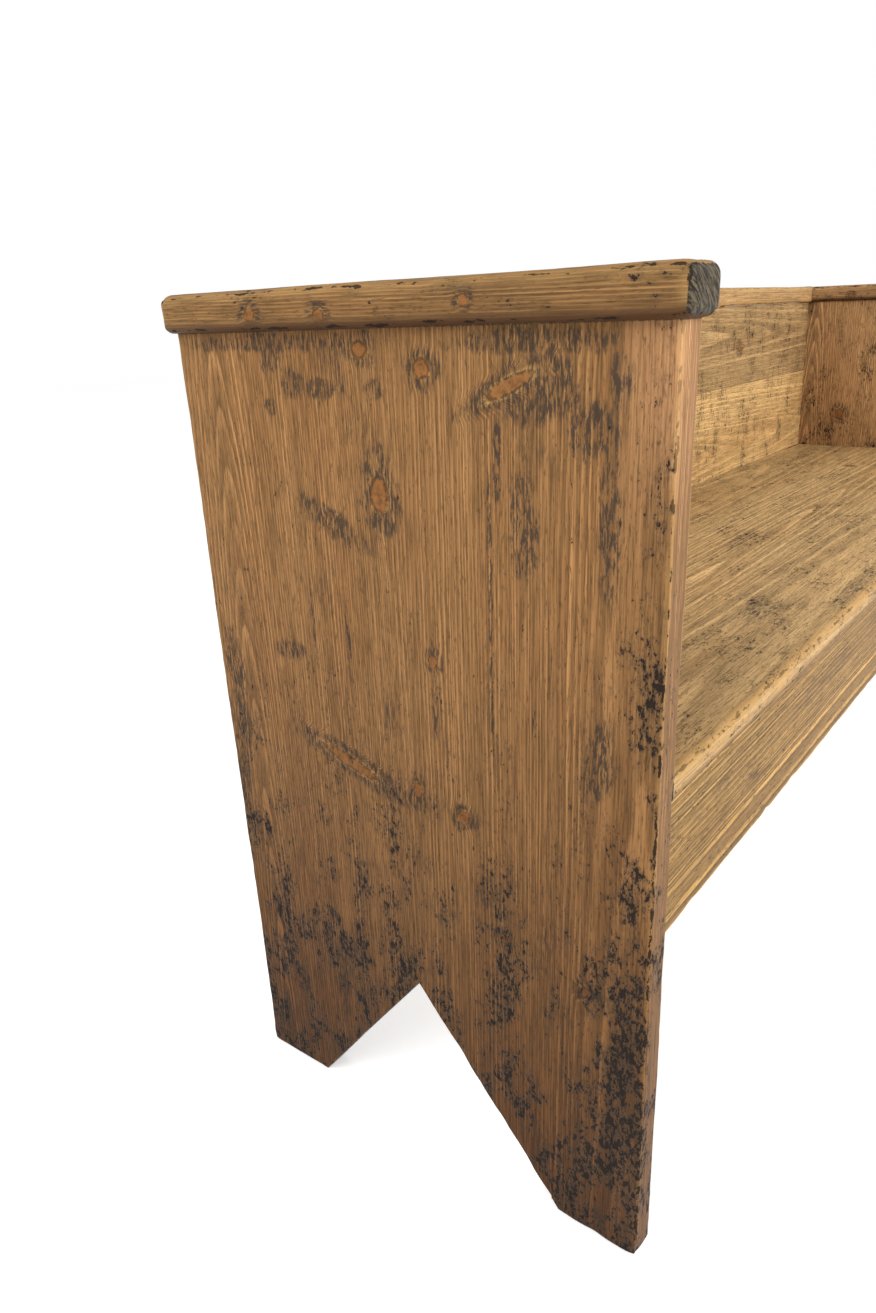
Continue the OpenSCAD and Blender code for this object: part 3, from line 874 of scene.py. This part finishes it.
RIGHT_CAP_MARKS = (Mark("knot", -0.060, 0.768, 0.012, 0.010), Mark("knot", 0.120, 0.765, 0.010, 0.010))
SEAT_MARKS = (
    Mark("knot", 0.310, -0.150, 0.022, 0.016, 5.0),
    Mark("knot", -0.020, 0.120, 0.018, 0.014),
    Mark("knot", 0.560, 0.020, 0.014, 0.012),
)
BACK_MARKS = (
    Mark("knot", -0.180, 0.560, 0.020, 0.016),
    Mark("knot", 0.420, 0.680, 0.018, 0.014, 8.0),
    Mark("knot", 0.160, 0.500, 0.014, 0.012),
)


# Thicknesses of the boards that lean, which their boxes don't show.
BACK_THICKNESS = 0.016
BATTEN_THICKNESS = 0.012
RAIL_THICKNESS = 0.022
# How far the back boards go into the ends.
HOUSED = 0.007


class PewOperator:
    """What every piece's operator shares."""

    bl_options = {"REGISTER", "UNDO"}


def make_end(side, marks, material, seed):
    """The three boards of an end."""
    shape = bpy.context.scene.pew_shape
    worn = shape.worn_edge
    sharp = shape.sharp_edge
    boards = (
        ("front", (worn, sharp), Heart(-0.030, 0.140, 0.010, seed)),
        ("middle", (sharp, sharp), Heart(0.100, 0.060, -0.012, seed + 3)),
        ("rear", (sharp, worn), Heart(0.075, 0.034, 0.045, seed + 6)),
    )
    for part, across, heart in boards:
        node = f"{side}_{part}_board"
        size, to_pew, keep = end_board_shape(node)
        radii = ((worn * 0.7, sharp), across, (worn, worn))
        make_board(node, size, to_pew, radii, UPRIGHT_END, heart, material, marks, keep, CLOSE_STEP)


class PEW_OT_left_end(PewOperator, bpy.types.Operator):
    """Builds the left end from its three boards"""

    bl_idname = "pew.left_end"
    bl_label = "Left end"

    def execute(self, context):
        honey = context.scene.pew_colours.honey
        material = pine("left_end_pine", honey, UPRIGHT_END, LEFT_MARKS, ring=0.0029, late=0.66, paint=0.40,
                        front_paint=0.8, stain=0.52, wear=0.6, grime_and_shade=0.90, dash=1.0, fleck=0.0027)
        make_end("left", LEFT_MARKS, material, 11)
        return {"FINISHED"}


class PEW_OT_right_end(PewOperator, bpy.types.Operator):
    """Builds the right end from its three boards"""

    bl_idname = "pew.right_end"
    bl_label = "Right end"

    def execute(self, context):
        # The right end's pine is a much lighter copy of the honey pine: painted light that makes up for the
        # shade on its inner face.
        honey = shaded(context.scene.pew_colours.honey, (1.68, 1.85, 2.15))
        material = pine("right_end_pine_painted_light", honey, UPRIGHT_END, RIGHT_MARKS, ring=0.0029, late=0.6, paint=0.9,
                        front_paint=0.5, stain=0.50, grime_and_shade=0.90, dash=0.9, fleck=0.0029)
        make_end("right", RIGHT_MARKS, material, 37)
        return {"FINISHED"}


class PEW_OT_caps(PewOperator, bpy.types.Operator):
    """Builds the two end caps and the cap rail that is coped between them"""

    bl_idname = "pew.caps"
    bl_label = "Caps"

    def execute(self, context):
        shape = context.scene.pew_shape
        edge = shape.cap_edge
        base = shaded(context.scene.pew_colours.honey, (0.90, 0.96, 0.98))
        # The right cap's pine is a lighter copy of the left cap's: painted light on the far cap.
        light = shaded(base, (1.68, 1.74, 2.05))
        for node, tint, marks, seed in (
            ("left_cap", base, LEFT_CAP_MARKS, 61),
            ("right_cap", light, RIGHT_CAP_MARKS, 67),
        ):
            material = pine(node + "_pine", tint, CAP_SIDE, marks, ring=0.0026, late=0.7, paint=0.62,
                            stain=0.42, wear=0.5, reach=0.010, dash=0.95, fleck=0.0034, shade_below=0.757)
            size, to_pew = straight(node, CAP_SIDE, 0.0)
            radii = ((edge * 1.35, edge * 1.2), (edge * 0.8, edge), (edge, edge))
            heart = Heart(0.060, 0.050, 0.020, seed)
            make_board(node, size, to_pew, radii, CAP_SIDE, heart, material, marks, closer=CLOSE_STEP)

        node = "back_cap_rail"
        size, to_upright = straight(node, FLAT_ALONG, 0.0)
        low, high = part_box(node)
        middle = (low.x + high.x) / 2
        end = np.array(size)

        def coped(place):
            """The rail's ends follow the round edge of the end caps that they meet."""
            world = to_upright(place)
            reach = np.minimum(world[:, 2] - low.z, high.z - world[:, 2])
            short = np.maximum(edge - np.maximum(reach, 0.0), 0.0)
            grown = edge - np.sqrt(np.maximum(edge * edge - short * short, 0.0)) + OVERLAP
            share = 1.0 + 2.0 * grown / end[0]
            world[:, 0] = middle + (world[:, 0] - middle) * share
            return world

        # The rail's pine is a much lighter copy of the caps': painted light that makes up for the shade on
        # its front face.
        pale = shaded(base, (2.0, 2.3, 2.7))
        material = pine("cap_rail_pine_painted_light", pale, FLAT_ALONG, (), ring=0.003, late=0.5, paint=0.35, stain=0.25,
                        reach=0.010, dash=0.5)
        radii = ((shape.sharp_edge,) * 2, (edge, edge), (edge * 0.8, edge))
        make_board(node, size, coped, radii, FLAT_ALONG, Heart(0.012, 0.080, 0.01, 71), material)
        return {"FINISHED"}


class PEW_OT_back(PewOperator, bpy.types.Operator):
    """Builds the two leaning back boards and the batten behind them"""

    bl_idname = "pew.back"
    bl_label = "Back"

    def execute(self, context):
        shape = context.scene.pew_shape
        straw = context.scene.pew_colours.straw
        grey = shaded(straw, (0.74, 0.79, 0.90))
        pale = shaded(straw, (1.14, 1.20, 1.28))
        sharp = shape.sharp_edge
        for node, base, heart in (
            ("back_top_board", grey, Heart(0.02, 0.060, 0.015, 83)),
            ("back_lower_board", pale, Heart(-0.03, 0.090, 0.02, 89)),
        ):
            material = pine(node + "_pine", base, STANDING_ALONG, BACK_MARKS, ring=0.0042, late=0.3,
                            paint=0.88, stain=0.42, fleck=0.0027, tick=0.6, streaks=0.3, turn_paint=True)
            size, to_pew = leaning(node, STANDING_ALONG, BACK_THICKNESS, -HOUSED)
            if node == "back_lower_board":
                size[1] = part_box("back_top_board")[0].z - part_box(node)[0].z
            radii = ((sharp,) * 2, (sharp, sharp * 2), (sharp * 2,) * 2)
            make_board(node, size, to_pew, radii, STANDING_ALONG, heart, material, BACK_MARKS)
        node = "back_batten"
        raw = context.scene.pew_colours.raw_pine
        material = pine("batten_pine", raw, STANDING_UP, (), late=0.35, paint=0.05, stain=0.25, dash=0.0)
        size, to_pew = leaning(node, STANDING_UP, BATTEN_THICKNESS, 0.0)
        broken = shape.broken_edge
        radii = ((broken, sharp), (broken,) * 2, (sharp, broken))
        make_board(node, size, to_pew, radii, STANDING_UP, Heart(0.01, 0.05, 0.02, 97), material)
        return {"FINISHED"}


class PEW_OT_seat(PewOperator, bpy.types.Operator):
    """Builds the three seat boards, the front one with its round nosing"""

    bl_idname = "pew.seat"
    bl_label = "Seat"

    def execute(self, context):
        shape = context.scene.pew_shape
        base = shaded(context.scene.pew_colours.straw, (0.89, 0.96, 1.08))
        sharp = shape.sharp_edge
        nosing = shape.nosing
        material = pine("seat_pine", base, FLAT_ALONG, SEAT_MARKS, ring=0.0056, late=0.5, paint=0.8,
                        stain=0.58, wear=1.5, reach=0.011, dash=0.6, fleck=0.0026, streaks=0.1, tick=0.9,
                        shade_below=0.429)
        for node, across, heart in (
            ("seat_front_board", (nosing, sharp), Heart(-0.020, 0.110, 0.012, 103)),
            ("seat_middle_board", (sharp, sharp), Heart(-0.030, 0.017, 0.014, 107)),
            ("seat_rear_board", (sharp, sharp), Heart(0.020, 0.095, 0.012, 109)),
        ):
            size, to_pew = straight(node, FLAT_ALONG)
            radii = ((sharp,) * 2, across, (0.003, nosing))
            make_board(node, size, to_pew, radii, FLAT_ALONG, heart, material, SEAT_MARKS)
        return {"FINISHED"}


class PEW_OT_rails(PewOperator, bpy.types.Operator):
    """Builds the front apron and the rear rail under the seat"""

    bl_idname = "pew.rails"
    bl_label = "Apron and rear rail"

    def execute(self, context):
        shape = context.scene.pew_shape
        colours = context.scene.pew_colours
        sharp = shape.sharp_edge
        base = shaded(colours.straw, (0.455, 0.425, 0.305))
        apron = pine("apron_pine", base, STANDING_ALONG, (), ring=0.0047, late=1.4, paint=0.60, stain=0.42,
                     fleck=0.0026, wear=0.3, streaks=0.2, tick=0.9)
        size, to_pew = straight("front_apron", STANDING_ALONG)
        radii = ((sharp,) * 2, (0.003, sharp), (0.003, 0.002))
        heart = Heart(0.140, 0.035, 0.010, 113)
        make_board("front_apron", size, to_pew, radii, STANDING_ALONG, heart, apron)
        rail = pine("rear_rail_pine", colours.raw_pine, STANDING_ALONG, (), late=0.4, paint=0.1, stain=0.3)
        size, to_pew = leaning("rear_rail", STANDING_ALONG, RAIL_THICKNESS)
        broken = shape.broken_edge
        radii = ((sharp,) * 2, (broken, sharp), (broken, broken))
        heart = Heart(-0.02, 0.060, 0.030, 127)
        make_board("rear_rail", size, to_pew, radii, STANDING_ALONG, heart, rail)
        return {"FINISHED"}


# The sawn pieces under the seat, and how far their edges are broken.
SAWN_PIECES = ("left_seat_cleat", "right_seat_cleat", "seat_bearer_left", "seat_bearer_right", "glue_blocks")
SAWN_EDGE = 0.001


class PEW_OT_under_seat(PewOperator, bpy.types.Operator):
    """Finishes the cleats, bearers and glue blocks with sawn pine and broken edges"""

    bl_idname = "pew.under_seat"
    bl_label = "Cleats, bearers and blocks"

    def execute(self, context):
        raw = context.scene.pew_colours.raw_pine
        material = pine("sawn_pine", raw, FRONT_TO_BACK, (), late=0.4, paint=0.04, stain=0.25, wear=0.0,
                        dash=0.0, made_here=False)
        for node in SAWN_PIECES:
            finish_node(node, material, SAWN_EDGE)
        return {"FINISHED"}


class PEW_OT_fixings(PewOperator, bpy.types.Operator):
    """Finishes the dowels, tongues and screws"""

    bl_idname = "pew.fixings"
    bl_label = "Dowels, tongues and screws"

    def execute(self, context):
        finishes = {"dowel_wood": beech_dowel(), "screw_steel": dull_steel()}
        for node, slot in SLOTS.items():
            if slot in finishes:
                finish_node(node, finishes[slot])
        return {"FINISHED"}


def finish_node(node, material, edge=0.0):
    """Gives a CAD node its material, and breaks its edges."""
    piece = frame["nodes"][node]
    piece.data.materials.clear()
    piece.data.materials.append(material)
    if edge:
        piece.modifiers.new("Joined faces", "WELD").merge_threshold = 1e-5
        bevel = piece.modifiers.new("Broken edges", "BEVEL")
        bevel.width = edge
        bevel.segments = 2
        bevel.limit_method = "ANGLE"
        bevel.angle_limit = math.radians(40.0)


# The camera's yaw, pitch and roll in radians, and its place from the low front corner of the left end.
CAMERA_TURN = (0.6680, -0.3582, -0.0405)
CAMERA_PLACE = (-0.5237, -0.2255, 0.7627)
# The middle of the pew, where the lights look.
LIT_PLACE = (-0.3, 0.0, 0.4)


class PEW_OT_stage(PewOperator, bpy.types.Operator):
    """Lays the pale floor, lights it softly and sets up the camera"""

    bl_idname = "pew.stage"
    bl_label = "Stage"

    def execute(self, context):
        stage = context.scene.pew_stage
        context.scene.view_settings.view_transform = "Standard"
        context.scene.view_settings.look = "None"
        bpy.ops.mesh.primitive_plane_add(size=24.0, location=(0.0, 0.0, -0.0005))
        floor = context.active_object
        floor.name = "studio_floor"
        material, _graph, shader = new_material("studio_floor")
        shader.inputs["Base Color"].default_value = (*stage.floor, 1.0)
        shader.inputs["Roughness"].default_value = 0.9
        shader.inputs["Emission Color"].default_value = (1.0, 1.0, 1.0, 1.0)
        shader.inputs["Emission Strength"].default_value = stage.glow
        floor.data.materials.append(material)

        world = bpy.data.worlds.new("studio_light")
        world.use_nodes = True
        graph = Graph(world.node_tree)
        seen = graph.node("ShaderNodeLightPath").outputs["Is Camera Ray"]
        background = world.node_tree.nodes["Background"]
        background.inputs["Color"].default_value = (1.0, 1.0, 1.0, 1.0)
        graph.feed(background.inputs["Strength"], graph.step(seen, 0.0, 1.0, stage.sky, 1.0))
        context.scene.world = world
        add_light("key_light", stage.key, 2.2, (0.5, -2.8, 2.0))
        add_light("fill_light", stage.fill, 1.6, (-2.3, 0.2, 2.0))

        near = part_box("left_front_board")[0]
        data = bpy.data.cameras.new("photo_view")
        data.lens = stage.lens
        data.sensor_width = 36.0
        camera = bpy.data.objects.new("photo_view", data)
        context.scene.collection.objects.link(camera)
        yaw, pitch, roll = CAMERA_TURN
        ahead = Vector((math.cos(yaw) * math.cos(pitch), math.sin(yaw) * math.cos(pitch), math.sin(pitch)))
        right = ahead.cross(Vector((0.0, 0.0, 1.0))).normalized()
        above = right.cross(ahead)
        turned_right = right * math.cos(roll) + above * math.sin(roll)
        turned_above = above * math.cos(roll) - right * math.sin(roll)
        turn = Matrix((turned_right, turned_above, -ahead)).transposed()
        camera.matrix_world = Matrix.Translation(near + Vector(CAMERA_PLACE)) @ turn.to_4x4()
        context.scene.camera = camera
        return {"FINISHED"}


def add_light(name, power, size, place):
    """A square soft light that looks at the pew."""
    data = bpy.data.lights.new(name, "AREA")
    data.energy = power
    data.size = size
    light = bpy.data.objects.new(name, data)
    light.location = place
    light.rotation_euler = (Vector(LIT_PLACE) - Vector(place)).to_track_quat("-Z", "Y").to_euler()
    bpy.context.scene.collection.objects.link(light)


# ---- Add-on ---------------------------------------------------------------------------------

STEPS = (
    PEW_OT_left_end,
    PEW_OT_right_end,
    PEW_OT_caps,
    PEW_OT_back,
    PEW_OT_seat,
    PEW_OT_rails,
    PEW_OT_under_seat,
    PEW_OT_fixings,
    PEW_OT_stage,
)


class PEW_PT_panel(bpy.types.Panel):
    """Lists the pew's settings and its pieces"""

    bl_idname = "PEW_PT_panel"
    bl_label = "Reclaimed Pine Pew"
    bl_space_type = "VIEW_3D"
    bl_region_type = "UI"
    bl_category = "Pew"

    def draw(self, context):
        for name in SETTINGS:
            settings = getattr(context.scene, name)
            box = self.layout.box()
            for key in settings.bl_rna.properties.keys():
                if key not in ("rna_type", "name"):
                    box.prop(settings, key)
        for step in STEPS:
            self.layout.operator(step.bl_idname)


SETTINGS = {"pew_shape": PewShape, "pew_colours": PewColours, "pew_stage": PewStage}
CLASSES = (*SETTINGS.values(), *STEPS, PEW_PT_panel)


def register():
    for made in CLASSES:
        bpy.utils.register_class(made)
    for name, settings in SETTINGS.items():
        setattr(bpy.types.Scene, name, PointerProperty(type=settings))


def unregister():
    for name in SETTINGS:
        delattr(bpy.types.Scene, name)
    for made in reversed(CLASSES):
        bpy.utils.unregister_class(made)


def main():
    register()
    for step in STEPS:
        group, name = step.bl_idname.split(".")
        getattr(getattr(bpy.ops, group), name)()


if __name__ == "__main__":
    main()
